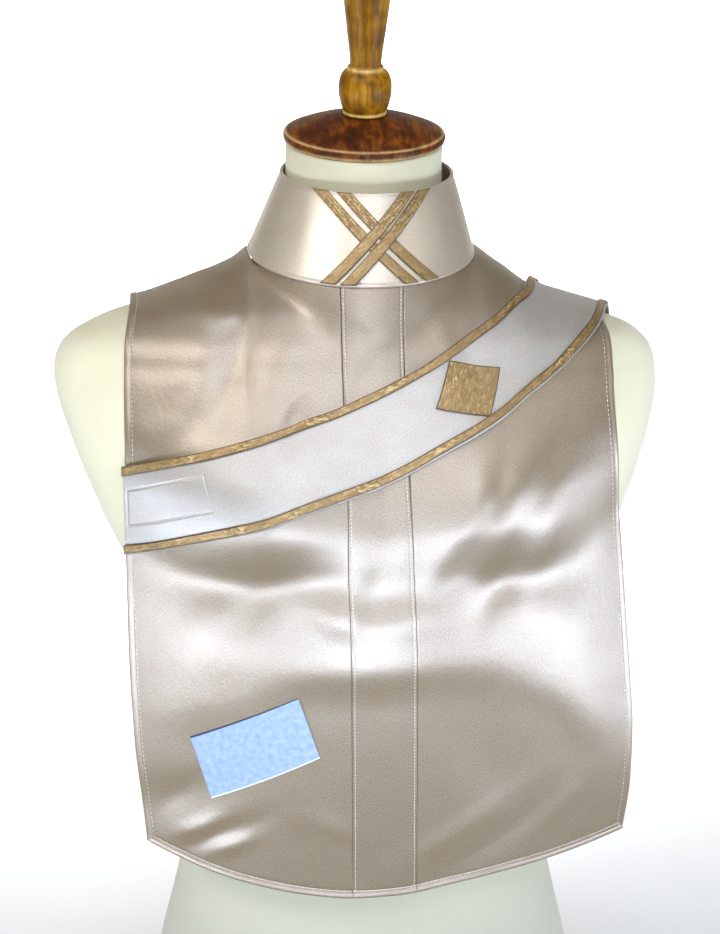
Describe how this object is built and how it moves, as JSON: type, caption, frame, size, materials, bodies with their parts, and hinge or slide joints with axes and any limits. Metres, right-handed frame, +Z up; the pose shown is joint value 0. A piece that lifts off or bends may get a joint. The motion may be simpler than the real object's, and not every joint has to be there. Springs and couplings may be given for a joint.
{
  "type": "detachable shirt collar with bib on a dress form",
  "caption": "Satin stand collar with a panelled bib front and a gold-edged band over a shoulder, worn on a limbless dress form with a turned wooden neck cap.",
  "frame": {"origin": "on the flat underside of the dress form, below the middle of its neck cap's rim", "axes": "+Z up through the neck, -Y to the front where the bib hangs, +X to the right seen from the front"},
  "size_m": [0.3985, 0.2433, 0.8069],
  "materials": {
    "satin": "champagne duchess satin",
    "foil_leather": "crinkled gold foil leather",
    "label_weave": "pale blue woven label",
    "form_cloth": "cream cotton cover",
    "stained_wood": "turned, dark stained and varnished"
  },
  "bodies": {
    "root": {"form_torso": "form_cloth", "neck_cap": "stained_wood", "neck_finial": "stained_wood", "bib_left": "satin", "bib_centre": "satin", "bib_right": "satin", "collar_band": "satin", "collar_strip_b1": "foil_leather", "collar_strip_b2": "foil_leather", "collar_strip_a1": "foil_leather", "collar_strip_a2": "foil_leather", "sash_band": "satin", "sash_trim_upper": "foil_leather", "sash_trim_lower": "foil_leather", "sash_diamond": "foil_leather", "woven_label": "label_weave"}
  },
  "joints": []
}
